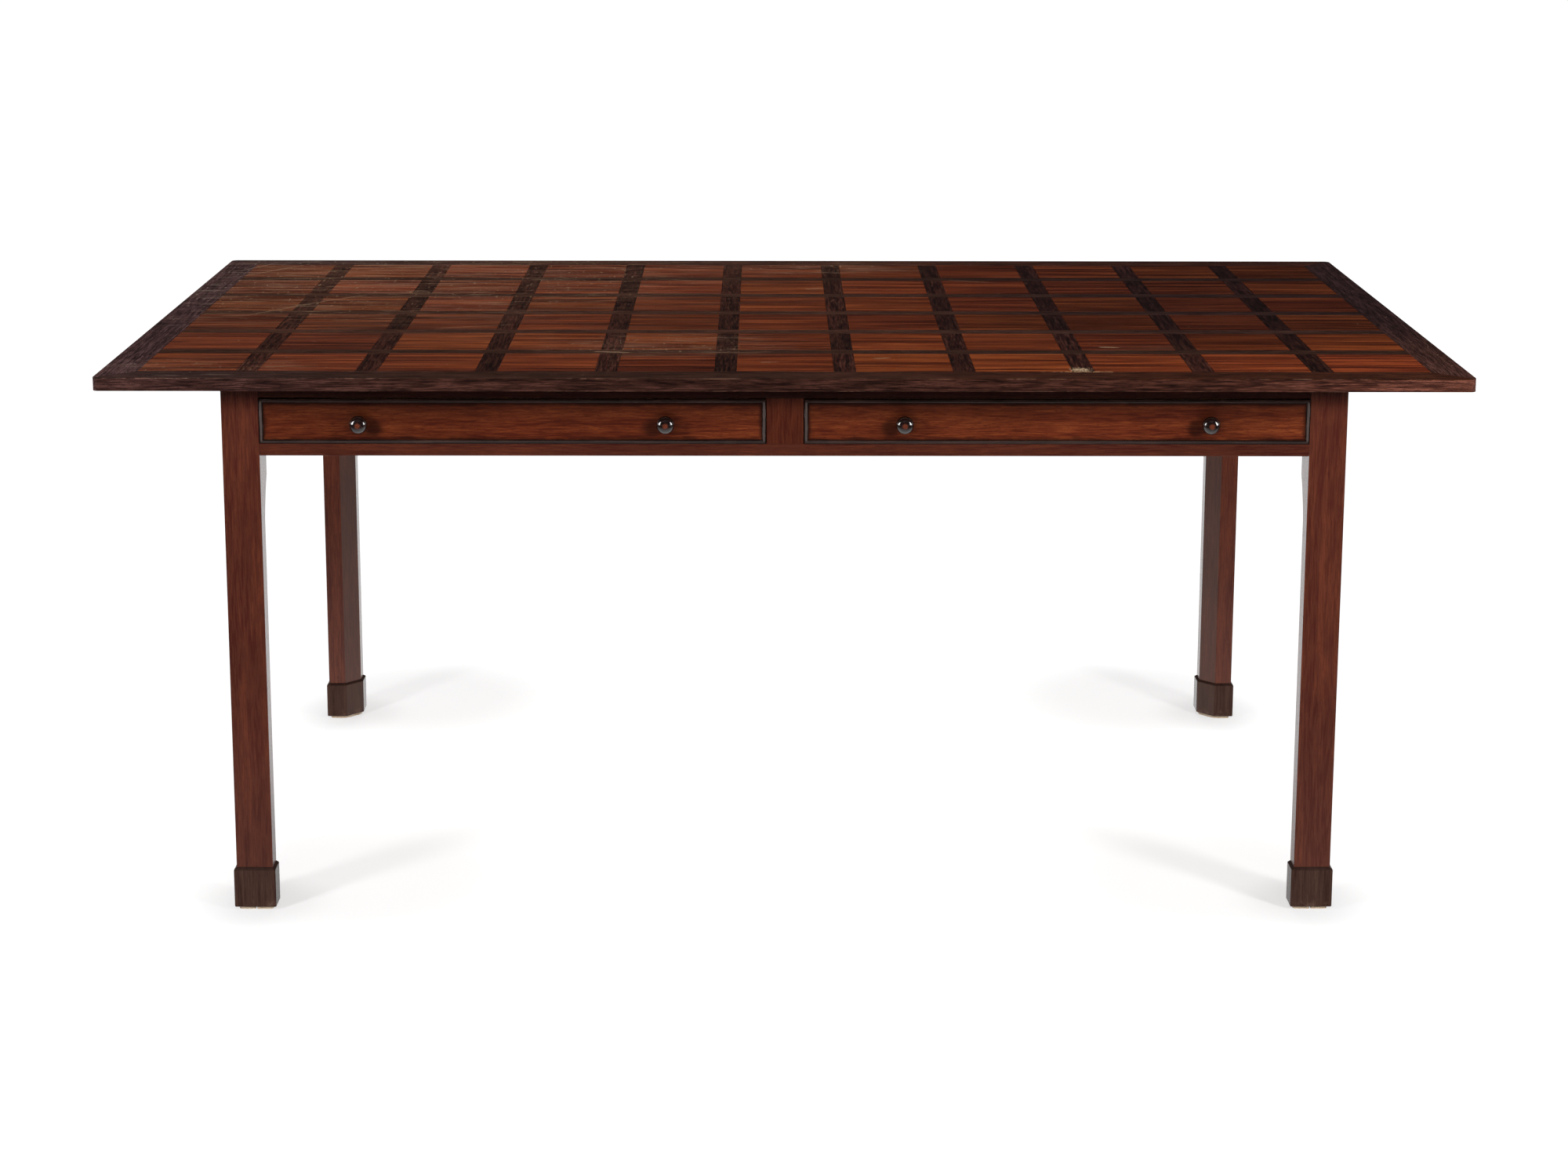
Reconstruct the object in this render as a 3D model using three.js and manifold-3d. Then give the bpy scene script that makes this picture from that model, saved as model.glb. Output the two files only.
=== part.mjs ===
// A writing desk: a parquetry top, a frieze with two drawers, and four chamfered legs on block feet.
// Millimetres. The desk is long in X, its drawers face -Y and +Z is up. The origin is on the floor, under the centre.
import * as THREE from "three";
import { mergeVertices } from "three/addons/utils/BufferGeometryUtils.js";
import Module from "manifold-3d";

const wasm = await Module();
wasm.setup();

// The whole desk
const deskHeight = 762;
const glueLine = 0.2; // the gap left at every glued or fitted face
const cutOverrun = 4; // how far a cutter runs past the face that it opens

// Parquetry top
const panelSide = 130;
const panelsAcross = 11;
const panelsDeep = 6;
const stripWidth = 30;
const borderWidth = 50;
const topThickness = 17.5;
const inlayThickness = 3;
const topCornerRadius = 8;

// Legs
const sideOverhang = 158;
const frontOverhang = 58;
const legSide = 50;
const legChamfer = 23;
const chamferDrop = 36; // from the frieze's lower edge down to the head of the chamfer
const chamferStopHeight = 60;
const chamferTailShares = { depth: 0.85, height: 0.42 };
const chamferHeadShares = { depth: 0.28, height: 0.85 };
const chamferSteps = 10;

// Feet
const footHeight = 57;
const footProud = 3.75;
const footBevelHeight = 3;
const footEase = 1;
const spigotShare = 0.4; // of the leg's side
const spigotLength = 25;
const glideThickness = 4.5;
const glideInset = 1;
const glideCornerRadius = 6;
const glideSlotWidth = 2.5;
const glideSlotShare = 0.7; // of the leg's side

// Frieze
const lowerRailHeight = 16.5;
const openingHeight = 63;
const upperRailHeight = 20.5;
const muntinWidth = 50;
const muntinDepth = 22;
const apronThickness = 22;
const tenonLengthShare = 0.5; // of the leg's side
const tenonThicknessShare = 0.5; // of the board that carries the tenon
const tenonShoulder = 8;
const runnerLedge = 17;
const runnerRecess = 2;
const guideHeight = 20;

// Drawers
const drawerDepth = 520;
const drawerFrontThickness = 22;
const drawerSideThickness = 10;
const drawerBackThickness = 10;
const drawerBottomThickness = 5;
const drawerSideGap = 0.8;
const drawerTopGap = 1.5;
const runningClearance = 0.3;
const sideTopDrop = 4;
const backTopDrop = 6;
const backInset = 12;
const bottomHeight = 8;
const grooveDepthShare = 0.5; // of the drawer side's thickness
const beadWidth = 5;
const beadSeatDepth = 9;
const beadNoseSteps = 8;
const tailsPerSide = 2;
const tailRootShare = 0.5; // of the tails' pitch
const tailEndShare = 0.68; // of the tails' pitch
const socketWall = 2;

// Knobs
const knobDiameter = 23;
const knobLength = 24;
const knobBallLength = 20;
const knobNeckDiameter = 11;
const knobBaseDiameter = 17;
const knobBaseThickness = 2.5;
const knobSpigotDiameter = 9;
const knobSpigotLength = 12;
const knobSpacing = 411;
const knobDrop = 2;
const knobBallSteps = 12;
const knobSides = 24;

// Sizes that follow from those above
const fieldWidth = panelsAcross * panelSide + (panelsAcross - 1) * stripWidth;
const fieldDepth = panelsDeep * panelSide + (panelsDeep - 1) * stripWidth;
const topWidth = fieldWidth + 2 * borderWidth;
const topDepth = fieldDepth + 2 * borderWidth;
const topUnderside = deskHeight - topThickness;
const friezeHeight = lowerRailHeight + openingHeight + upperRailHeight;
const friezeBottom = topUnderside - friezeHeight;
const frameHalfWidth = topWidth / 2 - sideOverhang;
const frameHalfDepth = topDepth / 2 - frontOverhang;
const footTop = glideThickness + footHeight;
const tenonLength = legSide * tenonLengthShare;
const openingBottom = lowerRailHeight;
const openingTop = lowerRailHeight + openingHeight;
const openingWidth = frameHalfWidth - legSide - muntinWidth / 2;
const drawerWidth = openingWidth - 2 * drawerSideGap;
const drawerHeight = openingHeight - runningClearance - drawerTopGap;
const drawerSideHeight = drawerHeight - sideTopDrop;
const grooveDepth = drawerSideThickness * grooveDepthShare;

const redWood = new THREE.MeshStandardMaterial({ color: 0x5e2c20, roughness: 0.35, metalness: 0 });
const panelWood = new THREE.MeshStandardMaterial({ color: 0x7a3a22, roughness: 0.4, metalness: 0 });
const drawerWood = new THREE.MeshStandardMaterial({ color: 0x783818, roughness: 0.35, metalness: 0 });
const darkWood = new THREE.MeshStandardMaterial({ color: 0x3a2620, roughness: 0.45, metalness: 0 });
const footWood = new THREE.MeshStandardMaterial({ color: 0x412f2a, roughness: 0.5, metalness: 0 });
const blackWood = new THREE.MeshStandardMaterial({ color: 0x171210, roughness: 0.35, metalness: 0 });
const knobWood = new THREE.MeshStandardMaterial({ color: 0x40190f, roughness: 0.15, metalness: 0 });
const liningWood = new THREE.MeshStandardMaterial({ color: 0xa67a4c, roughness: 0.6, metalness: 0 });
const glideFelt = new THREE.MeshStandardMaterial({ color: 0xc9b592, roughness: 0.8, metalness: 0 });

// A span is a pair of numbers, low and high, along one axis.
const centred = (middle, width) => [middle - width / 2, middle + width / 2];
const grown = ([low, high], by) => [low - by, high + by];
const mirrored = ([low, high]) => [-high, -low];

// A box that fills three spans.
function block(x, y, z) {
  const box = new THREE.BoxGeometry(x[1] - x[0], y[1] - y[0], z[1] - z[0]);
  return box.translate((x[0] + x[1]) / 2, (y[0] + y[1]) / 2, (z[0] + z[1]) / 2);
}

// A flat outline, in X and Y, raised through a span of heights.
function prism(outline, z) {
  const geometry = new THREE.ExtrudeGeometry(outline, { depth: z[1] - z[0], bevelEnabled: false });
  return geometry.translate(0, 0, z[0]);
}

// An upright outline, in a level direction and Z, raised across a span along the level direction's right.
function uprightPrism(outline, along, span, curveSegments = 1) {
  const depth = span[1] - span[0];
  const geometry = new THREE.ExtrudeGeometry(outline, { depth, bevelEnabled: false, curveSegments });
  const upwards = new THREE.Vector3(0, 0, 1);
  const across = new THREE.Vector3().crossVectors(along, upwards);
  geometry.translate(0, 0, span[0]);
  return geometry.applyMatrix4(new THREE.Matrix4().makeBasis(along, upwards, across));
}

const alongX = new THREE.Vector3(1, 0, 0);
const alongY = new THREE.Vector3(0, 1, 0);

function toSolid(geometry) {
  const bare = geometry.clone();
  bare.deleteAttribute("normal");
  bare.deleteAttribute("uv");
  const merged = mergeVertices(bare, glueLine / 1000);
  return new wasm.Manifold(
    new wasm.Mesh({
      numProp: 3,
      vertProperties: new Float32Array(merged.attributes.position.array),
      triVerts: new Uint32Array(merged.index.array),
    }),
  );
}

function toGeometry(solid) {
  const mesh = solid.getMesh();
  const geometry = new THREE.BufferGeometry();
  geometry.setAttribute("position", new THREE.BufferAttribute(mesh.vertProperties, 3));
  geometry.setIndex(new THREE.BufferAttribute(mesh.triVerts, 1));
  const flat = geometry.toNonIndexed();
  flat.computeVertexNormals();
  return flat;
}

function join(...geometries) {
  return toGeometry(geometries.map(toSolid).reduce((all, next) => all.add(next)));
}

function cut(body, cutters) {
  return toGeometry(cutters.map(toSolid).reduce((left, next) => left.subtract(next), toSolid(body)));
}

function addPiece(group, name, geometry, material, place = [0, 0, 0]) {
  const mesh = new THREE.Mesh(geometry, material);
  mesh.name = name;
  mesh.position.set(...place);
  group.add(mesh);
  return mesh;
}

// Where strip number i of a row runs, counted from the middle of the field.
function stripCentre(i, panels) {
  return (i + 1 - panels / 2) * (panelSide + stripWidth);
}

const stripePlaces = Array.from({ length: panelsDeep - 1 }, (_, i) => stripCentre(i, panelsDeep));
const barPlaces = Array.from({ length: panelsAcross - 1 }, (_, i) => stripCentre(i, panelsAcross));
const inlayFloor = topThickness - inlayThickness;
const inlayMiddle = topThickness - inlayThickness / 2;

// The lines where the squares of one row begin and end, with the field's own edges drawn in by the glue line.
function fieldLines(places, fieldLength) {
  const edge = fieldLength / 2 - glueLine;
  return [-edge, ...places.flatMap((place) => centred(place, stripWidth)), edge];
}

// The ground board. Its squares stand up between the grooves that hold the dark strips.
function topBoard() {
  const xs = fieldLines(barPlaces, fieldWidth);
  const ys = fieldLines(stripePlaces, fieldDepth);
  const corners = [];
  const addFace = (a, b, c, d) => corners.push(a, b, c, a, c, d);
  // A strip of wall over a line of the grid, seen from its right-hand side.
  const addWall = (from, to, low, high) =>
    addFace([...from, low], [...to, low], [...to, high], [...from, high]);
  const addWallsRound = ([left, right], [near, far], low, high) => {
    addWall([left, near], [right, near], low, high);
    addWall([right, near], [right, far], low, high);
    addWall([right, far], [left, far], low, high);
    addWall([left, far], [left, near], low, high);
  };
  for (let i = 0; i < xs.length - 1; i++)
    for (let j = 0; j < ys.length - 1; j++) {
      const [left, right] = [xs[i], xs[i + 1]];
      const [near, far] = [ys[j], ys[j + 1]];
      const isSquare = i % 2 === 0 && j % 2 === 0;
      const height = isSquare ? topThickness : inlayFloor;
      addFace([left, near, height], [right, near, height], [right, far, height], [left, far, height]);
      addFace([left, near, 0], [left, far, 0], [right, far, 0], [right, near, 0]);
      if (isSquare) addWallsRound([left, right], [near, far], inlayFloor, topThickness);
      if (i === 0) addWall([left, far], [left, near], 0, inlayFloor);
      if (i === xs.length - 2) addWall([right, near], [right, far], 0, inlayFloor);
      if (j === 0) addWall([left, near], [right, near], 0, inlayFloor);
      if (j === ys.length - 2) addWall([right, far], [left, far], 0, inlayFloor);
    }
  const geometry = new THREE.BufferGeometry();
  geometry.setAttribute("position", new THREE.Float32BufferAttribute(corners.flat(), 3));
  geometry.computeVertexNormals();
  return geometry;
}

// A level edge with a notch at each place where another strip crosses it.
function notchedEdge(places, height, notchHeight) {
  return places.flatMap((place) => {
    const [start, end] = centred(place, stripWidth);
    return [
      new THREE.Vector2(start, height),
      new THREE.Vector2(start, notchHeight),
      new THREE.Vector2(end, notchHeight),
      new THREE.Vector2(end, height),
    ];
  });
}

const stripSpan = centred(0, stripWidth - 2 * glueLine);
const stripBottom = inlayFloor + glueLine;

// A stripe runs the whole length of the field and laps over each bar.
function stripe() {
  const end = fieldWidth / 2 - glueLine;
  const outline = new THREE.Shape([
    new THREE.Vector2(-end, stripBottom),
    ...notchedEdge(barPlaces, stripBottom, inlayMiddle + glueLine / 2),
    new THREE.Vector2(end, stripBottom),
    new THREE.Vector2(end, topThickness),
    new THREE.Vector2(-end, topThickness),
  ]);
  return uprightPrism(outline, alongX, stripSpan);
}

// A bar runs from front to back and is halved to pass under each stripe.
function bar() {
  const end = fieldDepth / 2 - glueLine;
  const outline = new THREE.Shape([
    new THREE.Vector2(-end, stripBottom),
    new THREE.Vector2(end, stripBottom),
    new THREE.Vector2(end, topThickness),
    ...notchedEdge(stripePlaces, topThickness, inlayMiddle - glueLine / 2).reverse(),
    new THREE.Vector2(-end, topThickness),
  ]);
  return uprightPrism(outline, alongY, stripSpan);
}

// One side of the dark border, mitred at both ends. Its outer edge lies on y = 0 and it runs along X.
function border(length) {
  const half = length / 2 - glueLine;
  const arcCentre = half - topCornerRadius;
  const outline = new THREE.Shape();
  outline.moveTo(half - borderWidth, borderWidth);
  outline.lineTo(-(half - borderWidth), borderWidth);
  outline.absarc(-arcCentre, topCornerRadius, topCornerRadius, (5 / 4) * Math.PI, (3 / 2) * Math.PI, false);
  outline.absarc(arcCentre, topCornerRadius, topCornerRadius, (3 / 2) * Math.PI, (7 / 4) * Math.PI, false);
  return prism(outline, [0, topThickness]);
}

function addTop(desk) {
  const top = new THREE.Group();
  top.position.z = topUnderside;
  desk.add(top);
  addPiece(top, "top_board", topBoard(), panelWood);
  stripePlaces.forEach((y, i) => addPiece(top, `stripe_${i + 1}`, stripe(), darkWood, [0, y, 0]));
  barPlaces.forEach((x, i) => addPiece(top, `bar_${i + 1}`, bar(), darkWood, [x, 0, 0]));
  const sides = [
    ["border_front", topWidth, 0, [0, -topDepth / 2, 0]],
    ["border_right", topDepth, Math.PI / 2, [topWidth / 2, 0, 0]],
    ["border_rear", topWidth, Math.PI, [0, topDepth / 2, 0]],
    ["border_left", topDepth, -Math.PI / 2, [-topWidth / 2, 0, 0]],
  ];
  for (const [name, length, turn, place] of sides)
    addPiece(top, name, border(length), darkWood, place).rotation.z = turn;
}

// The leg's section moved outwards by a distance: a square with its inner corner cut off. The outer corner is at 0, 0.
function legOutline(outwards) {
  const low = -outwards;
  const high = legSide + outwards;
  const shoulder = legSide - legChamfer + outwards * (Math.SQRT2 - 1);
  return [
    [low, low],
    [high, low],
    [high, shoulder],
    [shoulder, high],
    [low, high],
  ].map(([x, y]) => new THREE.Vector2(x, y));
}

// The waste of the long chamfer and of the hollow curve that stops it below the frieze.
function chamferWaste() {
  const depth = legChamfer * Math.SQRT1_2;
  const head = friezeBottom - chamferDrop;
  const tail = head - chamferStopHeight;
  const bottom = footTop - cutOverrun;
  const side = new THREE.Shape();
  side.moveTo(cutOverrun, bottom);
  side.lineTo(cutOverrun, head);
  side.lineTo(0, head);
  side.bezierCurveTo(
    -depth * chamferHeadShares.depth,
    tail + chamferStopHeight * chamferHeadShares.height,
    -depth * chamferTailShares.depth,
    tail + chamferStopHeight * chamferTailShares.height,
    -depth,
    tail,
  );
  side.lineTo(-depth, bottom);
  const outwards = new THREE.Vector3(Math.SQRT1_2, Math.SQRT1_2, 0);
  const width = centred(0, 2 * (legChamfer + cutOverrun));
  return uprightPrism(side, outwards, width, chamferSteps).translate(legSide, legSide, 0);
}

// The tenons that enter a leg, as spans inward from the leg's outer faces and upward from the frieze's lower edge.
const tenonReach = [legSide - tenonLength, legSide];
const apronTenon = centred(apronThickness / 2, apronThickness * tenonThicknessShare);
const apronTenonHeights = [tenonShoulder, friezeHeight - tenonShoulder];
const railTenon = centred(legSide / 2, legSide * tenonThicknessShare);
const lowerRailTenonHeights = centred(lowerRailHeight / 2, lowerRailHeight * tenonThicknessShare);
const upperRailTenonHeights = centred(
  openingTop + upperRailHeight / 2,
  upperRailHeight * tenonThicknessShare,
);

function mortise(x, y, z) {
  const heights = grown(z, glueLine).map((height) => height + friezeBottom);
  return block(grown(x, glueLine), grown(y, glueLine), heights);
}

const spigotSpan = centred((legSide - legChamfer / 2) / 2, legSide * spigotShare);

function leg(isFront) {
  const body = prism(new THREE.Shape(legOutlineSquare()), [footTop + glueLine, topUnderside - glueLine]);
  const spigot = block(spigotSpan, spigotSpan, [footTop - spigotLength, footTop + cutOverrun]);
  const mortises = [mortise(apronTenon, tenonReach, apronTenonHeights)];
  if (isFront)
    mortises.push(
      mortise(tenonReach, railTenon, lowerRailTenonHeights),
      mortise(tenonReach, railTenon, upperRailTenonHeights),
    );
  else mortises.push(mortise(tenonReach, apronTenon, apronTenonHeights));
  return join(cut(body, [chamferWaste(), ...mortises]), spigot);
}

function legOutlineSquare() {
  return [
    [0, 0],
    [legSide, 0],
    [legSide, legSide],
    [0, legSide],
  ].map(([x, y]) => new THREE.Vector2(x, y));
}

// A closed solid through outlines of equal length, each at its own height, from the lowest to the highest.
function loft(outlines, heights) {
  const count = outlines[0].length;
  const points = outlines.flatMap((outline, level) => outline.map(({ x, y }) => [x, y, heights[level]]));
  const faces = [];
  for (let level = 0; level < outlines.length - 1; level++)
    for (let i = 0; i < count; i++) {
      const near = level * count + i;
      const next = level * count + ((i + 1) % count);
      faces.push(near, next, next + count, near, next + count, near + count);
    }
  const lid = (outlines.length - 1) * count;
  for (let i = 1; i < count - 1; i++) {
    faces.push(0, i + 1, i);
    faces.push(lid, lid + i, lid + i + 1);
  }
  const geometry = new THREE.BufferGeometry();
  geometry.setAttribute("position", new THREE.Float32BufferAttribute(points.flat(), 3));
  geometry.setIndex(faces);
  return geometry;
}

// The block foot is the leg's section grown all round, with a bevel up to the leg and a socket for its spigot.
function foot() {
  const body = loft(
    [legOutline(footProud - footEase), legOutline(footProud), legOutline(footProud), legOutline(0)],
    [glideThickness, glideThickness + footEase, footTop - footBevelHeight, footTop],
  );
  const socket = block(grown(spigotSpan, glueLine), grown(spigotSpan, glueLine), [
    footTop - spigotLength - glueLine,
    footTop + cutOverrun,
  ]);
  return cut(body, [socket]);
}

// The pad under a foot has rounded corners and is split from the front.
function glide() {
  const corners = legOutline(-glideInset);
  const outline = new THREE.Shape();
  corners.forEach((corner, i) => {
    const before = corners[(i + corners.length - 1) % corners.length];
    const after = corners[(i + 1) % corners.length];
    const start = corner.clone().add(before.clone().sub(corner).setLength(glideCornerRadius));
    const end = corner.clone().add(after.clone().sub(corner).setLength(glideCornerRadius));
    if (i === 0) outline.moveTo(start.x, start.y);
    else outline.lineTo(start.x, start.y);
    outline.quadraticCurveTo(corner.x, corner.y, end.x, end.y);
  });
  const pad = new THREE.ExtrudeGeometry(outline, {
    depth: glideThickness - glueLine,
    bevelEnabled: false,
    curveSegments: 3,
  });
  const slot = block(
    centred(legSide / 2, glideSlotWidth),
    [-cutOverrun, legSide * glideSlotShare],
    [-cutOverrun, glideThickness + cutOverrun],
  );
  return cut(pad, [slot]);
}

function addLegs(desk) {
  for (const [end, isFront] of [
    ["front", true],
    ["rear", false],
  ])
    for (const [side, across] of [
      ["left", -1],
      ["right", 1],
    ]) {
      const corner = new THREE.Group();
      const along = isFront ? -1 : 1;
      corner.position.set(across * frameHalfWidth, along * frameHalfDepth, 0);
      corner.scale.set(-across, -along, 1);
      desk.add(corner);
      addPiece(corner, `leg_${end}_${side}`, leg(isFront), redWood);
      addPiece(corner, `foot_${end}_${side}`, foot(), footWood);
      addPiece(corner, `glide_${end}_${side}`, glide(), glideFelt);
    }
}

const betweenLegsX = centred(0, 2 * (frameHalfWidth - legSide - glueLine));
const betweenLegsY = centred(0, 2 * (frameHalfDepth - legSide - glueLine));
const sideApronX = [-frameHalfWidth, apronThickness - frameHalfWidth];
const rearApronY = [frameHalfDepth - apronThickness, frameHalfDepth];
const frontRailY = [-frameHalfDepth, legSide - frameHalfDepth];

// A front rail lies flat between the front legs, with a tenon at each end.
function frontRail(heights, tenonHeights) {
  const tenonX = [tenonReach[0] - frameHalfWidth, tenonReach[1] - frameHalfWidth + cutOverrun];
  const tenonY = railTenon.map((y) => y - frameHalfDepth);
  return join(
    block(betweenLegsX, frontRailY, heights),
    block(tenonX, tenonY, tenonHeights),
    block(mirrored(tenonX), tenonY, tenonHeights),
  );
}

const muntinTenonX = centred(0, muntinWidth * tenonThicknessShare);
const muntinTenonY = centred(muntinDepth / 2 - frameHalfDepth, muntinDepth * tenonThicknessShare);
const muntinTenonLength = lowerRailHeight * tenonThicknessShare;
const muntinTenonHeights = grown([openingBottom, openingTop], muntinTenonLength);

function muntinMortise() {
  return block(
    grown(muntinTenonX, glueLine),
    grown(muntinTenonY, glueLine),
    grown(muntinTenonHeights, glueLine),
  );
}

function muntin() {
  const body = block(
    centred(0, muntinWidth),
    [-frameHalfDepth, muntinDepth - frameHalfDepth],
    [openingBottom + glueLine, openingTop - glueLine],
  );
  return join(body, block(muntinTenonX, muntinTenonY, muntinTenonHeights));
}

const apronHeights = [0, friezeHeight - glueLine];

function sideApron() {
  const tenonX = apronTenon.map((x) => x - frameHalfWidth);
  const tenonY = [tenonReach[0] - frameHalfDepth, tenonReach[1] - frameHalfDepth + cutOverrun];
  return join(
    block(sideApronX, betweenLegsY, apronHeights),
    block(tenonX, tenonY, apronTenonHeights),
    block(tenonX, mirrored(tenonY), apronTenonHeights),
  );
}

function rearApron() {
  const tenonX = [tenonReach[0] - frameHalfWidth, tenonReach[1] - frameHalfWidth + cutOverrun];
  const tenonY = mirrored(apronTenon.map((y) => y - frameHalfDepth));
  return join(
    block(betweenLegsX, rearApronY, apronHeights),
    block(tenonX, tenonY, apronTenonHeights),
    block(mirrored(tenonX), tenonY, apronTenonHeights),
  );
}

const ledgeHeights = [runnerRecess, lowerRailHeight];
const guideHeights = [runnerRecess, lowerRailHeight + guideHeight];
const kickerHeights = [openingTop, friezeHeight - glueLine];
const guideX = [sideApronX[1] + glueLine, legSide - frameHalfWidth];
const ledgeX = [guideX[0], guideX[1] + runnerLedge];
const centreLedgeX = centred(0, muntinWidth + 2 * runnerLedge);
const behindRailY = [frontRailY[1] + glueLine, rearApronY[0] - glueLine];

// A side runner carries one side of a drawer on its ledge, and its upright part guides it behind the leg.
function sideRunner() {
  return join(block(ledgeX, betweenLegsY, ledgeHeights), block(guideX, betweenLegsY, guideHeights));
}

// The centre runner serves both drawers. Its guide reaches forward over the lower rail to the muntin.
function centreRunner() {
  const guideY = [muntinDepth - frameHalfDepth + glueLine, behindRailY[1]];
  const upright = [lowerRailHeight + glueLine, guideHeights[1]];
  const core = centred(0, muntinWidth);
  return join(
    block(centreLedgeX, behindRailY, ledgeHeights),
    block(core, behindRailY, guideHeights),
    block(core, guideY, upright),
  );
}

function addFrieze(desk) {
  const frieze = new THREE.Group();
  frieze.position.z = friezeBottom;
  desk.add(frieze);
  const lowerRail = frontRail([0, openingBottom], lowerRailTenonHeights);
  const upperRail = frontRail([openingTop, friezeHeight - glueLine], upperRailTenonHeights);
  addPiece(frieze, "rail_lower", cut(lowerRail, [muntinMortise()]), redWood);
  addPiece(frieze, "rail_upper", cut(upperRail, [muntinMortise()]), redWood);
  addPiece(frieze, "muntin", muntin(), redWood);
  addPiece(frieze, "apron_left", sideApron(), redWood);
  addPiece(frieze, "apron_right", sideApron(), redWood).scale.x = -1;
  addPiece(frieze, "apron_rear", rearApron(), redWood);
  addPiece(frieze, "runner_left", sideRunner(), liningWood);
  addPiece(frieze, "runner_right", sideRunner(), liningWood).scale.x = -1;
  addPiece(frieze, "runner_centre", centreRunner(), liningWood);
  const kicker = block(ledgeX, betweenLegsY, kickerHeights);
  addPiece(frieze, "kicker_left", kicker, liningWood);
  addPiece(frieze, "kicker_right", kicker, liningWood).scale.x = -1;
  addPiece(frieze, "kicker_centre", block(centreLedgeX, behindRailY, kickerHeights), liningWood);
}

// A drawer's own frame: X = 0 at its middle, Y = 0 at its face, Z = 0 at its lower edge.
const halfDrawer = drawerWidth / 2;
const drawerBackY = [drawerDepth - backInset - drawerBackThickness, drawerDepth - backInset];
const tailLength = drawerFrontThickness - beadSeatDepth - socketWall;
const tailPitch = drawerSideHeight / tailsPerSide;
const tailCentres = Array.from({ length: tailsPerSide }, (_, i) => (i + 1 / 2) * tailPitch);
const knobHeight = drawerHeight / 2 - knobDrop;
const knobPlaces = [-knobSpacing / 2, knobSpacing / 2];

// The four corners of one dovetail, from its lower root round to its upper root.
function tailCorners(centre, gap) {
  const root = (tailPitch * tailRootShare) / 2 + gap;
  const end = (tailPitch * tailEndShare) / 2 + gap;
  const rootY = drawerFrontThickness + glueLine;
  const endY = drawerFrontThickness - tailLength - gap;
  return [
    new THREE.Vector2(rootY, centre - root),
    new THREE.Vector2(endY, centre - end),
    new THREE.Vector2(endY, centre + end),
    new THREE.Vector2(rootY, centre + root),
  ];
}

// The groove for the drawer's bottom, in whatever crosses it.
function bottomGroove(y) {
  const x = centred(0, drawerWidth - 2 * (drawerSideThickness - grooveDepth));
  const heights = grown([bottomHeight, bottomHeight + drawerBottomThickness], glueLine);
  return block(x, y, heights);
}

function drawerSide(across) {
  const rootY = drawerFrontThickness + glueLine;
  const tails = tailCentres.flatMap((centre) => tailCorners(centre, 0));
  const outline = new THREE.Shape([
    new THREE.Vector2(rootY, 0),
    new THREE.Vector2(drawerDepth, 0),
    new THREE.Vector2(drawerDepth, drawerSideHeight),
    new THREE.Vector2(rootY, drawerSideHeight),
    ...tails.reverse(),
  ]);
  const x = [halfDrawer - drawerSideThickness, halfDrawer];
  const body = uprightPrism(outline, alongY, across > 0 ? x : mirrored(x));
  return cut(body, [bottomGroove([0, drawerDepth + cutOverrun])]);
}

function tailSocket(centre, x) {
  const [lowRoot, lowEnd, highEnd, highRoot] = tailCorners(centre, glueLine);
  lowRoot.x += cutOverrun;
  highRoot.x += cutOverrun;
  return uprightPrism(new THREE.Shape([lowRoot, highRoot, highEnd, lowEnd]), alongY, x);
}

function knobHole(x) {
  const radius = knobSpigotDiameter / 2 + glueLine;
  const depth = knobSpigotLength + glueLine + cutOverrun;
  const hole = new THREE.CylinderGeometry(radius, radius, depth, knobSides);
  return hole.translate(x, depth / 2 - cutOverrun, knobHeight);
}

function drawerFront() {
  const inset = beadWidth + glueLine;
  const fullX = centred(0, drawerWidth);
  const body = join(
    block(grown(fullX, -inset), [0, drawerFrontThickness], [inset, drawerHeight - inset]),
    block(fullX, [beadSeatDepth, drawerFrontThickness], [0, drawerHeight]),
  );
  const socketX = [halfDrawer - drawerSideThickness - glueLine, halfDrawer + cutOverrun];
  const sockets = tailCentres.flatMap((z) => [tailSocket(z, socketX), tailSocket(z, mirrored(socketX))]);
  const groove = bottomGroove([drawerFrontThickness - grooveDepth, drawerFrontThickness + cutOverrun]);
  return cut(body, [...sockets, groove, ...knobPlaces.map(knobHole)]);
}

// A strip with a half-round nose, mitred round the edge of the drawer front.
function bead() {
  const nose = Array.from({ length: beadNoseSteps + 1 }, (_, i) => {
    const angle = (i / beadNoseSteps) * Math.PI;
    return [(beadWidth / 2) * (1 - Math.cos(angle)), (-beadWidth / 2) * Math.sin(angle)];
  });
  const seat = beadSeatDepth - glueLine;
  const profile = [[0, seat], ...nose, [beadWidth, seat]];
  const corners = [
    [-1, -1],
    [1, -1],
    [1, 1],
    [-1, 1],
  ];
  const points = corners.flatMap(([across, up]) =>
    profile.map(([inwards, y]) => [
      across * (halfDrawer - inwards),
      y,
      drawerHeight / 2 + up * (drawerHeight / 2 - inwards),
    ]),
  );
  const count = profile.length;
  const faces = [];
  for (let corner = 0; corner < corners.length; corner++)
    for (let i = 0; i < count; i++) {
      const here = corner * count;
      const there = ((corner + 1) % corners.length) * count;
      const next = (i + 1) % count;
      faces.push(here + i, there + next, here + next, here + i, there + i, there + next);
    }
  const geometry = new THREE.BufferGeometry();
  geometry.setAttribute("position", new THREE.Float32BufferAttribute(points.flat(), 3));
  geometry.setIndex(faces);
  return geometry;
}

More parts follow.
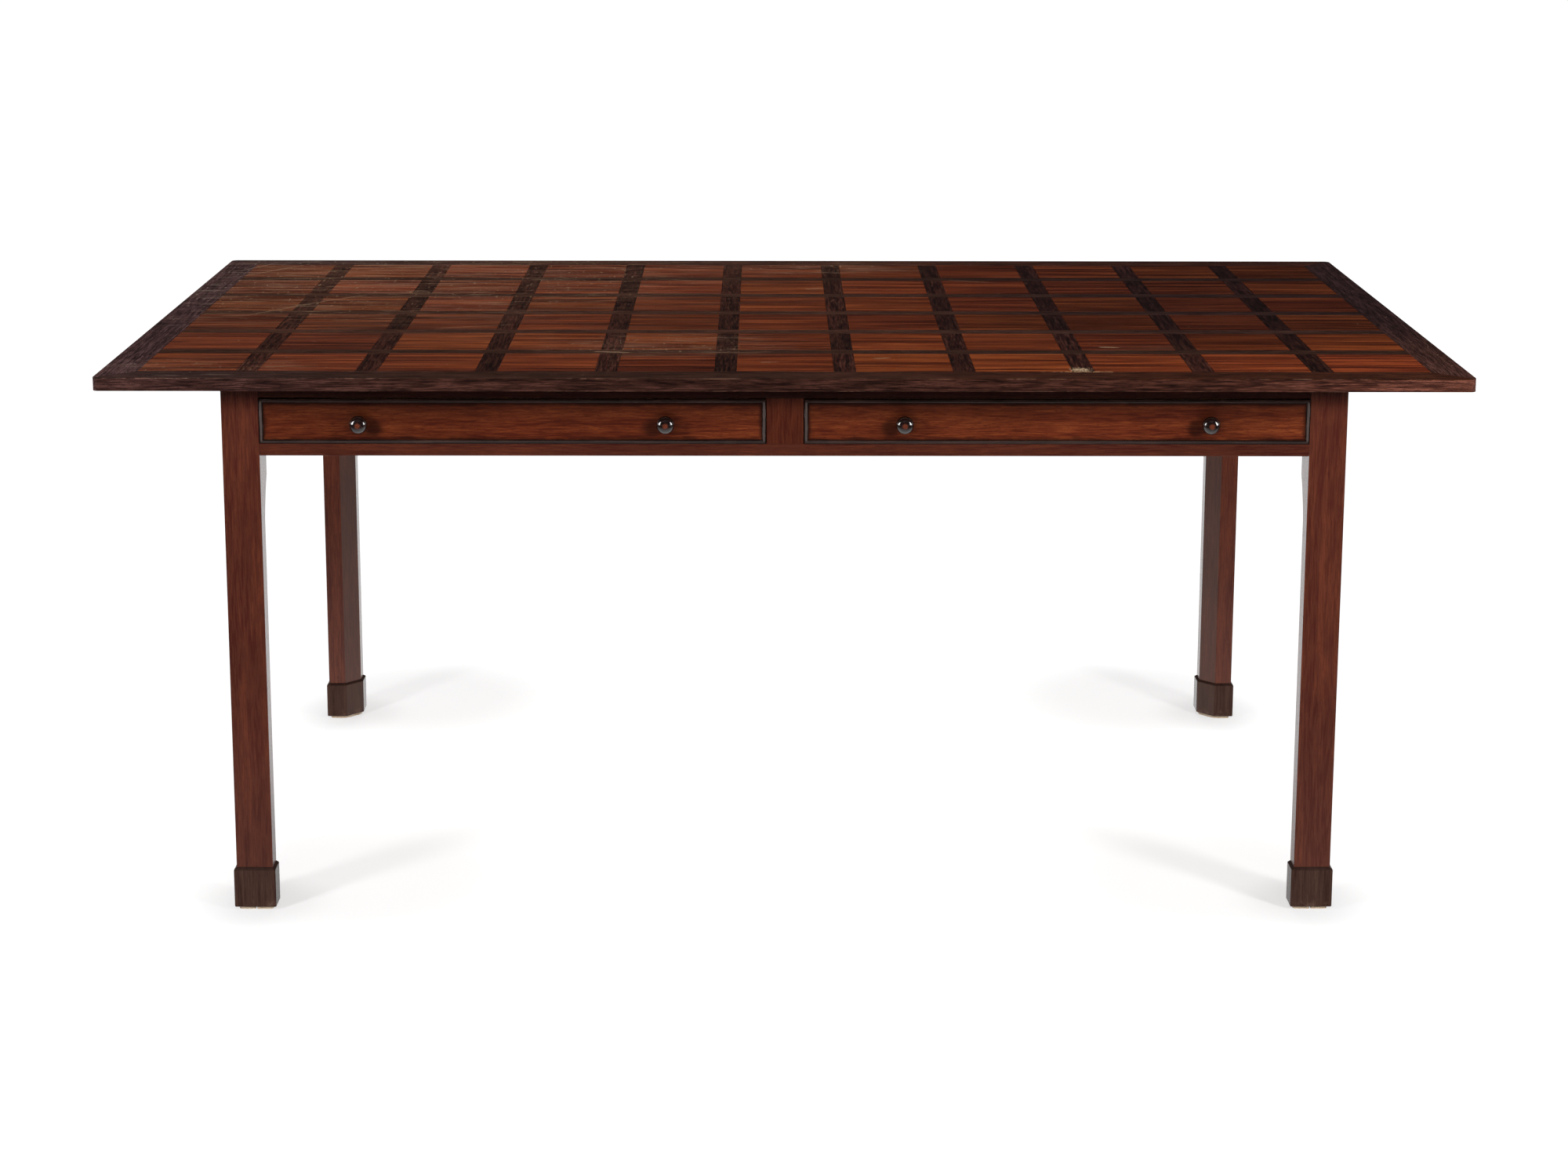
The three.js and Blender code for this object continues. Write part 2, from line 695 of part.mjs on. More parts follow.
// A turned knob: a spigot in the drawer front, a base, a neck and a slightly flattened ball. It points to -Y.
function knob() {
  const ball = knobDiameter / 2;
  const ballCentre = knobLength - knobBallLength / 2;
  const ballStart = Math.asin(knobNeckDiameter / knobDiameter);
  const points = [
    [0, -knobSpigotLength],
    [knobSpigotDiameter / 2, -knobSpigotLength],
    [knobSpigotDiameter / 2, glueLine],
    [knobBaseDiameter / 2, glueLine],
    [knobBaseDiameter / 2, knobBaseThickness],
  ];
  for (let i = 0; i <= knobBallSteps; i++) {
    const angle = ballStart + (i / knobBallSteps) * (Math.PI - ballStart);
    const radius = i === knobBallSteps ? 0 : ball * Math.sin(angle);
    points.push([radius, ballCentre - (knobBallLength / 2) * Math.cos(angle)]);
  }
  const profile = points.map(([radius, reach]) => new THREE.Vector2(radius, -reach)).reverse();
  return new THREE.LatheGeometry(profile, knobSides);
}

function addDrawer(desk, name, across) {
  const drawer = new THREE.Group();
  drawer.position.set(
    across * (muntinWidth / 2 + openingWidth / 2),
    -frameHalfDepth,
    friezeBottom + openingBottom + runningClearance,
  );
  desk.add(drawer);
  const betweenSides = centred(0, drawerWidth - 2 * (drawerSideThickness + glueLine));
  const bottomX = centred(0, drawerWidth - 2 * (drawerSideThickness - grooveDepth + glueLine));
  const bottomY = [drawerFrontThickness - grooveDepth + glueLine, drawerBackY[1]];
  const bottomTop = bottomHeight + drawerBottomThickness;
  const backHeights = [bottomTop + glueLine, drawerSideHeight - backTopDrop];
  addPiece(drawer, `${name}_front`, drawerFront(), drawerWood);
  addPiece(drawer, `${name}_bead`, bead(), blackWood);
  addPiece(drawer, `${name}_side_left`, drawerSide(-1), liningWood);
  addPiece(drawer, `${name}_side_right`, drawerSide(1), liningWood);
  addPiece(drawer, `${name}_back`, block(betweenSides, drawerBackY, backHeights), liningWood);
  addPiece(drawer, `${name}_bottom`, block(bottomX, bottomY, [bottomHeight, bottomTop]), liningWood);
  addPiece(drawer, `${name}_knob_left`, knob(), knobWood, [knobPlaces[0], 0, knobHeight]);
  addPiece(drawer, `${name}_knob_right`, knob(), knobWood, [knobPlaces[1], 0, knobHeight]);
}

const desk = new THREE.Group();
addTop(desk);
addLegs(desk);
addFrieze(desk);
addDrawer(desk, "drawer_left", -1);
addDrawer(desk, "drawer_right", 1);

export default desk;
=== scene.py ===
import math

import bmesh
import bpy
from mathutils import Matrix, Vector


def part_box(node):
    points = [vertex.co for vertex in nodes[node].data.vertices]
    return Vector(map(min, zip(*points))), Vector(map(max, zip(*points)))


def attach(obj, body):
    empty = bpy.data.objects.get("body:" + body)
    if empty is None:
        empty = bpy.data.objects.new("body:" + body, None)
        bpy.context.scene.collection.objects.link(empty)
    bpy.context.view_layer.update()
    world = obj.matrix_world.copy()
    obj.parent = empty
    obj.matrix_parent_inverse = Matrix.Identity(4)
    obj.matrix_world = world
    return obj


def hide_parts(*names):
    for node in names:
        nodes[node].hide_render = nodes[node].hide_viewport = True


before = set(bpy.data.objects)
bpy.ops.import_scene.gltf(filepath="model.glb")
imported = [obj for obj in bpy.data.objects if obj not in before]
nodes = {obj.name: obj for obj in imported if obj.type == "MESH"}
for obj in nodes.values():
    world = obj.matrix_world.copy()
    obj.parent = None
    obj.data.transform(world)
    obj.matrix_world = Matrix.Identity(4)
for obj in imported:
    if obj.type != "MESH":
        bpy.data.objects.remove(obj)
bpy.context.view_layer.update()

MM = 0.001

# Camera, as fitted to the photograph
PICTURE_WIDTH = 2000
SENSOR_WIDTH = 36
FOCAL_PIXELS = 3681
AXIS_ROWS_ABOVE_MIDDLE = 280
CAMERA_PLACE = Vector((-28, -4254, 1489.8)) * MM
CAMERA_PITCH = 0.18872
CAMERA_YAW = 0.00695
CAMERA_ROLL = -0.00234

WHITE = (1, 1, 1, 1)

# The soft light of the surroundings on matt surfaces, and the room that gloss sees
SOFT_LIGHT = 0.28
SOFT_TONE = "fbf9fb"
ROOM_TONE = "f6f4f4"

# The floor's glow to the camera, and how much of it is taken away in painted shadows beside and round the
# feet
FLOOR_REACH = 30
FLOOR_GLOW = 0.93
SHADOW_DEPTH = 0.31
SHADOW_INWARDS = 0.13
SHADOW_REARWARDS = 0.09
SHADOW_CORE = 0.1
FRONT_SHADOW_REACH = 0.33
REAR_SHADOW_REACH = 0.26
CONTACT_DEPTH = 0.1
CONTACT_CORE = 0.04
CONTACT_REACH = 0.12

# How pale the floor is to matt surfaces and to the camera, and how much paler where shadows fall
FLOOR_SHADE = 0.75
FLOOR_SHARE = 0.2
SHADOW_SHARE = 0.28

# Middles of the floor that isn't plain white yet and of the floor that gloss sees, and where each ends
DIM_FLOOR = (0, 0.9, 0)
DIM_FLOOR_ENDS = (1.6, 3.6)
MIRRORED_FLOOR = (0, 1.8, 0)
MIRRORED_FLOOR_ENDS = (2.2, 3.6)

# The desk's own sizes that the looks need, in metres
SQUARE_SIDE = 130 * MM
STRIP_WIDTH = 30 * MM
PITCH = SQUARE_SIDE + STRIP_WIDTH
SQUARES_ACROSS = 11
SQUARES_DEEP = 6
VENEER_THICKNESS = 2.8 * MM
GLUE_LINE = 0.2 * MM
LEG_SIDE = 50 * MM
LEG_CHAMFER = 23 * MM
BEAD_WIDTH = 5 * MM
BEAD_SEAT = 8.8 * MM
BEAD_STEPS = 14
WELD_DISTANCE = 0.01 * MM

# The hollow that stops a leg's chamfer, as shares of the chamfer's depth and of the stop's height
STOP_BOTTOM = 548.5 * MM
STOP_HEIGHT = 60 * MM
STOP_STEPS = 24
STOP_SHARES = [(0.0, 1.0), (0.28, 0.85), (0.85, 0.42), (1.0, 0.0)]

# A knob's spigot and stem as reach from the drawer's face and radius, in millimetres, and its rounded face
KNOB_SPIGOT = (-12, 4.5)
KNOB_STEM = [
    (0.2, 8.5), (1.6, 8.5), (2.3, 8.1), (2.7, 7.2), (3.0, 6.1), (3.5, 5.6), (5.0, 5.6), (6.8, 6.1),
    (8.4, 8.0), (9.8, 10.1), (11.0, 11.3), (12.4, 12.1),
]
KNOB_RADIUS = 12.3
KNOB_LENGTH = 23.9
KNOB_FACE_DEPTH = 10.2
KNOB_FACE_POWER = 2.05
KNOB_FACE_STEPS = 18
KNOB_SIDES = 48

# How far edges are rounded
VENEER_EDGE = 0.15 * MM
BOARD_EDGE = 0.3 * MM
BORDER_EDGE = 0.9 * MM
LEG_EDGE = 0.8 * MM
FOOT_EDGE = 0.7 * MM
GLIDE_EDGE = 0.6 * MM
RAIL_EDGE = 0.5 * MM
DRAWER_SIDE_EDGE = 0.4 * MM

# Each corner's side across the desk, and from front to rear
CORNERS = {
    "front_left": (-1, -1),
    "front_right": (1, -1),
    "rear_left": (-1, 1),
    "rear_right": (1, 1),
}
SIDES = ("left", "right")
DRAWERS = ("drawer_left", "drawer_right")

# The woods' dark, middle and light tones
SQUARE_TONES = ("2c0f06", "5c270e", "8c461c")
STRIPE_TONES = ("26130e", "3d251b", "57382b")
BAR_TONES = ("120605", "2e1410", "4e2a20")
LONG_BORDER_TONES = ("1f0f0b", "3b2219", "57372b")
SHORT_BORDER_TONES = ("1f0f0d", "3b231d", "573831")
FRAME_TONES = ("461c14", "53281b", "612f1e")
DRAWER_TONES = ("46180c", "5f2812", "723619")
FOOT_TONES = ("311c15", "3f2922", "493329")
LINING_TONES = ("7d5530", "a67a4c", "c49a68")
BEAD_TONES = ("110907", "1f1310", "35221c")
KNOB_TONES = ("170c0b", "1d1110", "241615")

# Tones of wear and dirt, and of painted shade, shadow, sheen and highlight
HAZE_TONE = "956a54"
SCRATCH_TONE = "a88a6c"
CHIP_TONE = "c9ac88"
FLECK_TONE = "65422f"
BORDER_RUB_TONE = "8c6654"
LEG_CHAMFER_SHEEN_TONE = "5f4a40"
FOOT_CHAMFER_SHEEN_TONE = "604c44"
FRAME_SPOT_TONE = "23100b"
FRAME_SHADE_TONE = "1d0c08"
DRAWER_DIRT_AND_SHADOW_TONE = "260e08"
DRAWER_SHADE_TONE = "1c0a07"
FOOT_LIP_TONE = "1a100e"
FOOT_SCUFF_TONE = "7a6254"
LINING_STAIN_TONE = "5d3d22"
BEAD_RUB_TONE = "43302a"
BEAD_RIDGE_HIGHLIGHT_TONE = "6a605c"
KNOB_MIDDLE_TONE = "6e3420"
FELT_TONES = ("bda283", "f0dfc8")
FELT_DIRT_TONE = "a58a6c"

# Tints, as factors of red, green and blue
RED_SQUARE_TINT = (1.0, 0.86, 1.15, 1)
LEFT_SQUARE_TINT = (0.96, 1.08, 1.45, 1)
REAR_RIGHT_TINT = (0.62, 0.66, 0.9, 1)
LEFT_BORDER_TINT = (0.9, 1.08, 1.45, 1)
RIGHT_BORDER_TINT = (1.25, 0.95, 0.7, 1)
BORDER_EDGE_TINT = (0.97, 0.92, 1.02)
MUNTIN_TINT = (0.96, 0.84, 0.66, 1)

# Lengths and widths of the grain's figure, and how far a board's own chance shifts it
BEND_GRAIN = (180 * MM, 45 * MM)
BROAD_GRAIN = (340 * MM, 17 * MM)
NARROW_GRAIN = (90 * MM, 5 * MM)
FINE_GRAIN = (30 * MM, 1.6 * MM)
PORE_GRAIN = (8 * MM, 0.8 * MM)
CROSS_GRAIN = (7 * MM, 1.6 * MM)
FLECK_GRAIN = (26 * MM, 3.2 * MM)
SHIFT_ALONG = 9.7
SHIFT_DEEP = 3.1

# Worn places of the top: centre x and y, half length, half width and strength
WORN_PLACES = [
    (-0.17, -0.27, 0.26, 0.13, 0.85),
    (-0.8, -0.44, 0.26, 0.1, 0.7),
    (-0.36, 0.42, 0.36, 0.09, 1.1),
    (0.06, 0.43, 0.22, 0.09, 1.1),
    (-0.86, 0.44, 0.06, 0.1, 0.8),
    (-0.72, 0.1, 0.16, 0.3, 0.25),
    (0.5, -0.3, 0.1, 0.04, 0.5),
]

# Scratches and chips of the top: centre x and y, half length, half width and turn in degrees
SCRATCHES = [
    (0.133, -0.368, 0.014, 0.003, 12),
    (-0.023, -0.398, 0.016, 0.002, 0),
    (0.052, 0.225, 0.02, 0.003, 14),
    (-0.24, -0.323, 0.03, 0.003, -8),
    (0.455, -0.283, 0.016, 0.004, -6),
    (-0.76, 0.02, 0.1, 0.0012, 52),
    (-0.7, 0.1, 0.12, 0.0012, 48),
    (-0.83, 0.4, 0.09, 0.0016, 55),
    (-0.86, 0.44, 0.06, 0.0016, 62),
    (0.3, 0.3, 0.05, 0.0012, -20),
    (-0.45, -0.12, 0.07, 0.0012, 16),
]
CHIPS = [(0.397, -0.45, 0.013, 0.014, 8), (0.402, -0.465, 0.042, 0.002, 0)]

# A knob's painted shadow: its shift and drop, and the x where shadows turn from rightwards to leftwards
KNOB_SHADOW_SHIFT = 18 * MM
KNOB_SHADOW_DROP = 8 * MM
KNOB_SHADOWS_TURN = -0.4

# The top's faces and edges
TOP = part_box("stripe_1")[1].z
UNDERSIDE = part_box("top_board")[0].z
HALF_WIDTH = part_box("border_right")[1].x
HALF_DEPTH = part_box("border_rear")[1].y


def tone(code):
    """A written sRGB colour as linear values."""
    values = [int(code[i : i + 2], 16) / 255 for i in (0, 2, 4)]
    return (*[v / 12.92 if v <= 0.04045 else ((v + 0.055) / 1.055) ** 2.4 for v in values], 1)


def middle_of(node):
    low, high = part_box(node)
    return (low + high) / 2


# Studio: camera, world, lamps and floor


def make_camera():
    sin_yaw, cos_yaw = math.sin(CAMERA_YAW), math.cos(CAMERA_YAW)
    sin_pitch, cos_pitch = math.sin(CAMERA_PITCH), math.cos(CAMERA_PITCH)
    forward = Vector((sin_yaw * cos_pitch, cos_yaw * cos_pitch, -sin_pitch))
    level = Vector((cos_yaw, -sin_yaw, 0))
    upward = level.cross(forward)
    right = level * math.cos(CAMERA_ROLL) - upward * math.sin(CAMERA_ROLL)
    top = upward * math.cos(CAMERA_ROLL) + level * math.sin(CAMERA_ROLL)
    data = bpy.data.cameras.new("camera")
    data.sensor_width = SENSOR_WIDTH
    data.lens = FOCAL_PIXELS / PICTURE_WIDTH * SENSOR_WIDTH
    data.shift_y = -AXIS_ROWS_ABOVE_MIDDLE / PICTURE_WIDTH
    data.clip_start = 0.1
    data.clip_end = 100
    camera = bpy.data.objects.new("camera", data)
    turn = Matrix((right, top, -forward)).transposed().to_4x4()
    camera.matrix_world = Matrix.Translation(CAMERA_PLACE) @ turn
    bpy.context.scene.collection.objects.link(camera)
    bpy.context.scene.camera = camera


class Graph:
    """Short ways to add nodes to one node tree."""

    def __init__(self, tree):
        self.tree = tree
        tree.nodes.clear()

    def add(self, kind, inputs=(), **settings):
        node = self.tree.nodes.new(kind)
        for name, value in settings.items():
            setattr(node, name, value)
        for key, value in dict(inputs).items():
            self.feed(node.inputs[key], value)
        return node

    def feed(self, socket, value):
        if isinstance(value, bpy.types.NodeSocket):
            self.tree.links.new(value, socket)
        else:
            socket.default_value = value

    def math(self, operation, a, b=0.0):
        return self.add("ShaderNodeMath", {0: a, 1: b}, operation=operation).outputs[0]

    def times(self, a, b):
        return self.math("MULTIPLY", a, b)

    def plus(self, a, b):
        return self.math("ADD", a, b)

    def minus(self, a, b):
        return self.math("SUBTRACT", a, b)

    def either(self, a, b):
        return self.math("MAXIMUM", a, b)

    def both(self, a, b):
        return self.math("MINIMUM", a, b)

    def size(self, a):
        return self.math("ABSOLUTE", a)

    def split(self, vector):
        return self.add("ShaderNodeSeparateXYZ", {0: vector}).outputs[:3]

    def vector(self, x, y, z):
        return self.add("ShaderNodeCombineXYZ", {0: x, 1: y, 2: z}).outputs[0]

    def distance(self, a, b):
        return self.add("ShaderNodeVectorMath", {0: a, 1: b}, operation="DISTANCE").outputs["Value"]

    def noise(self, vector, scale=1.0, detail=2.0, rough=0.5):
        inputs = {"Vector": vector, "Scale": scale, "Detail": detail, "Roughness": rough}
        return self.add("ShaderNodeTexNoise", inputs).outputs[0]

    def chance(self, vector):
        return self.add("ShaderNodeTexWhiteNoise", {"Vector": vector}, noise_dimensions="3D").outputs[0]

    def ramp(self, value, low, high, to_low=0.0, to_high=1.0):
        inputs = {"Value": value, "From Min": low, "From Max": high, "To Min": to_low, "To Max": to_high}
        return self.add("ShaderNodeMapRange", inputs, interpolation_type="SMOOTHSTEP").outputs[0]

    def between(self, share, low, high):
        """A value that goes from low to high as the share goes from 0 to 1."""
        return self.ramp(share, 0.0, 1.0, low, high)

    def mix(self, share, a, b, blend="MIX"):
        node = self.add("ShaderNodeMix", {0: share, 6: a, 7: b}, data_type="RGBA", blend_type=blend)
        return node.outputs[2]

    def tinted(self, colour, tint, share=1.0):
        """The colour times a tint, as far as the share goes."""
        return self.mix(share, colour, tint, "MULTIPLY")

    def scaled(self, colour, factor):
        """The colour times a factor that varies over the surface."""
        return self.tinted(colour, self.vector(factor, factor, factor))

    def shaders(self, share, a, b):
        return self.add("ShaderNodeMixShader", {0: share, 1: a, 2: b}).outputs[0]


def make_world():
    """White to the camera, a plain soft light on the object, and a dark room in reflections."""
    world = bpy.data.worlds.new("world")
    bpy.context.scene.world = world
    world.use_nodes = True
    g = Graph(world.node_tree)
    path = g.add("ShaderNodeLightPath").outputs
    height = g.split(g.add("ShaderNodeTexCoord").outputs["Generated"])[2]
    walls = g.ramp(height, 0.1, 0.2, 0.05, 0.006)
    ceiling = g.ramp(height, 0.5, 1.0, 0.0, 0.2)
    room = g.plus(walls, ceiling)
    seen = g.add("ShaderNodeBackground", {"Color": WHITE, "Strength": 1.0}).outputs[0]
    shine = g.add("ShaderNodeBackground", {"Color": tone(ROOM_TONE), "Strength": room}).outputs[0]
    soft = g.add("ShaderNodeBackground", {"Color": tone(SOFT_TONE), "Strength": SOFT_LIGHT}).outputs[0]
    mixed = g.shaders(path["Is Glossy Ray"], soft, shine)
    mixed = g.shaders(g.either(path["Is Camera Ray"], path["Is Transmission Ray"]), mixed, seen)
    g.add("ShaderNodeOutputWorld", {"Surface": mixed})


def make_lamp(name, place, aim, size, power, hidden_from=""):
    """A rectangular lamp. Hidden from gloss it isn't mirrored, and hidden from matt it is only mirrored."""
    data = bpy.data.lights.new(name, "AREA")
    data.shape = "RECTANGLE"
    data.size, data.size_y = size
    data.energy = power
    lamp = bpy.data.objects.new(name, data)
    lamp.location = place
    lamp.rotation_euler = (Vector(aim) - Vector(place)).to_track_quat("-Z", "Y").to_euler()
    lamp.visible_camera = False
    lamp.visible_glossy = hidden_from != "gloss"
    lamp.visible_diffuse = hidden_from != "matt"
    bpy.context.collection.objects.link(lamp)


def make_lamps():
    for side, name in zip((-1, 1), SIDES):
        aim = (side * 0.2, -0.3, 0.6)
        power = 54 + 4 * side
        make_lamp(f"lamp_{name}", (side * 2.6, -2.5, 1.6), aim, (0.5, 0.7), power, hidden_from="gloss")
        make_lamp(f"window_{name}", (side * 3.1, -1.4, 1.7), aim, (1.3, 2.1), 55, hidden_from="matt")
    make_lamp("lamp_front", (0, -3.6, 2.8), (0, -0.3, 0.6), (2.6, 1.0), 32, hidden_from="gloss")
    make_lamp("lamp_rear", (0, 3.6, 2.4), (0, 0, 0.5), (2.4, 1.2), 60, hidden_from="gloss")
    make_lamp("lamp_above", (0, -0.4, 3.8), (0, 0, 0), (0.5, 0.4), 26)


def make_floor():
    """A pale floor that keeps the desk's shadow, with painted shadows beside and round the feet. Gloss sees
    it white at the rear and dimmer in front.
    """
    reach = FLOOR_REACH
    mesh = bpy.data.meshes.new("floor")
    corners = [(-reach, -reach, 0), (reach, -reach, 0), (reach, reach, 0), (-reach, reach, 0)]
    mesh.from_pydata(corners, [], [(0, 1, 2, 3)])
    floor = bpy.data.objects.new("floor", mesh)
    bpy.context.scene.collection.objects.link(floor)
    material = bpy.data.materials.new("floor")
    material.use_nodes = True
    g = Graph(material.node_tree)
    path = g.add("ShaderNodeLightPath").outputs
    place = g.add("ShaderNodeTexCoord").outputs["Object"]

    # Painted shadows: the glow is lowered in an oval inwards and rearwards of each foot, and in a contact
    # ring round it.
    near = 0.0
    touching = 0.0
    for corner, (across, along) in CORNERS.items():
        foot = middle_of(f"foot_{corner}")
        shadow = (foot.x - across * SHADOW_INWARDS, foot.y + SHADOW_REARWARDS, 0)
        shadow_reach = FRONT_SHADOW_REACH if along < 0 else REAR_SHADOW_REACH
        near = g.either(near, g.ramp(g.distance(place, shadow), SHADOW_CORE, shadow_reach, 1.0, 0.0))
        from_foot = g.distance(place, (foot.x, foot.y, 0))
        touching = g.either(touching, g.ramp(from_foot, CONTACT_CORE, CONTACT_REACH, 1.0, 0.0))
    lost = g.plus(g.times(near, -SHADOW_DEPTH), g.times(touching, -CONTACT_DEPTH))
    away = g.ramp(g.distance(place, DIM_FLOOR), *DIM_FLOOR_ENDS)
    glow = g.either(g.plus(FLOOR_GLOW, lost), away)
    share = g.plus(FLOOR_SHARE, g.times(near, SHADOW_SHARE))
    pale = g.add("ShaderNodeBsdfDiffuse", {"Color": g.vector(share, share, share)}).outputs[0]
    bright = g.add("ShaderNodeEmission", {"Strength": glow}).outputs[0]
    seen = g.add("ShaderNodeAddShader", {0: pale, 1: bright}).outputs[0]

    grey = (FLOOR_SHADE, FLOOR_SHADE, FLOOR_SHADE, 1)
    matt = g.add("ShaderNodeBsdfDiffuse", {"Color": grey}).outputs[0]
    towards_rear = g.ramp(g.split(place)[1], -0.7, 0.6, 0.45, 1.0)
    fading = g.ramp(g.distance(place, MIRRORED_FLOOR), *MIRRORED_FLOOR_ENDS, 1.0, 0.05)
    mirrored = g.times(towards_rear, fading)
    shine = g.add("ShaderNodeEmission", {"Strength": mirrored}).outputs[0]
    mixed = g.shaders(path["Is Glossy Ray"], matt, shine)
    mixed = g.shaders(g.either(path["Is Camera Ray"], path["Is Transmission Ray"]), mixed, seen)
    g.add("ShaderNodeOutputMaterial", {"Surface": mixed})
    mesh.materials.append(material)


# Woods


class Wood(Graph):
    """One wood: grain along an axis, with figure, streaks and pores, and the wear laid over them."""

    def __init__(self, name, axis):
        self.material = bpy.data.materials.new(name)
        self.material.use_nodes = True
        super().__init__(self.material.node_tree)
        self.place = self.add("ShaderNodeTexCoord").outputs["Object"]
        self.x, self.y, self.z = self.split(self.place)
        self.axis = axis
        self.seed = sum(map(ord, name)) % 97 / 7

    def cell(self, value, shift=0.0):
        """The number of the square or strip that a coordinate falls in."""
        return self.math("FLOOR", self.plus(self.times(value, 1 / PITCH), shift))

    def facing(self):
        return self.split(self.add("ShaderNodeNewGeometry").outputs["Normal"])

    def shifted(self, chance=0.0):
        """Coordinates along, across and into the grain, moved by a chance so that boards differ."""
        order = [(self.x, self.y, self.z), (self.y, self.x, self.z), (self.z, self.x, self.y)][self.axis]
        along, across, depth = order
        along = self.plus(along, self.plus(self.times(chance, SHIFT_ALONG), self.seed))
        depth = self.plus(depth, self.times(chance, SHIFT_DEEP))
        return along, across, depth

    def grain(self, where, length, width, detail=2.0, rough=0.5):
        along, across, depth = where
        vector = self.vector(
            self.times(along, 1 / length), self.times(across, 1 / width), self.times(depth, 1 / width)
        )
        return self.noise(vector, 1.0, detail, rough)

    def paint(
        self, where, tones, bands=0.5, lines=0.5, threads=0.35, pores=0.5, wobble=4 * MM, stretch=1.0
    ):
        """The bare wood's colour, and its height for the bump."""
        dark, middle, light = map(tone, tones)
        along, across, depth = where
        bend = self.grain(where, *BEND_GRAIN, 1.0)
        across = self.plus(across, self.times(self.plus(bend, -0.5), wobble))
        where = (along, across, depth)
        narrow_length, narrow_width = NARROW_GRAIN
        fine_length, fine_width = FINE_GRAIN
        broad = self.ramp(self.grain(where, *BROAD_GRAIN), 0.32, 0.68)
        narrow = self.ramp(self.grain(where, stretch * narrow_length, narrow_width, 3.0, 0.6), 0.35, 0.65)
        fine = self.ramp(self.grain(where, stretch * fine_length, fine_width), 0.35, 0.65)
        pits = self.ramp(self.grain(where, *PORE_GRAIN, 1.0), 0.54, 0.7)
        weight = bands + lines + threads
        share = self.plus(self.times(broad, bands / weight), self.times(narrow, lines / weight))
        share = self.plus(share, self.times(fine, threads / weight))
        colour = self.mix(self.ramp(share, 0.12, 0.5), dark, middle)
        colour = self.mix(self.ramp(share, 0.5, 0.88), colour, light)
        colour = self.mix(self.times(pits, pores), colour, dark)
        height = self.plus(self.times(fine, 0.4), self.times(pits, -0.8))
        return colour, height

    def laid(self, colour, code, mask, strength=1.0):
        """The colour with a tone laid over it where the mask is, as far as the strength."""
        return self.mix(self.times(mask, strength), colour, tone(code))

    def chamfers(self):
        """1 on upright faces that look along a diagonal, and 0 on other faces."""
        across, along, _ = self.facing()
        return self.ramp(self.times(self.size(across), self.size(along)), 0.36, 0.46)

    def inner_sides(self):
        """1 on faces that look sideways towards the middle of the desk, and 0 on other faces."""
        across = self.facing()[0]
        return self.ramp(self.times(across, self.math("SIGN", self.x)), -0.9, -0.99)

    def finish(self, colour, height, roughness, specular=0.5, depth=0.12 * MM, ior=1.5):
        bump = self.add("ShaderNodeBump", {"Height": height, "Strength": 0.6, "Distance": depth}).outputs[0]
        inputs = {
            "Base Color": colour,
            "Roughness": roughness,
            "Specular IOR Level": specular,
            "IOR": ior,
            "Normal": bump,
        }
        surface = self.add("ShaderNodeBsdfPrincipled", inputs).outputs[0]
        self.add("ShaderNodeOutputMaterial", {"Surface": surface})
        return self.material


def spot(w, flat, x, y, half_length, half_width, turn=0):
    """How far a point is from a place, where 1 is the rim of its oval."""
    inputs = {
        "Vector": flat,
        "Location": (x, y, 0),
        "Rotation": (0, 0, math.radians(turn)),
        "Scale": (half_length, half_width, 1),
    }
    mapped = w.add("ShaderNodeMapping", inputs, vector_type="TEXTURE").outputs[0]
    return w.add("ShaderNodeVectorMath", {0: mapped}, operation="LENGTH").outputs["Value"]


def streaked(w, per_x, per_y, layer, detail, rough=0.5):
    """Noise over the top, with its own number of marks per metre each way."""
    return w.noise(w.vector(w.times(w.x, per_x), w.times(w.y, per_y), layer), 1.0, detail, rough)


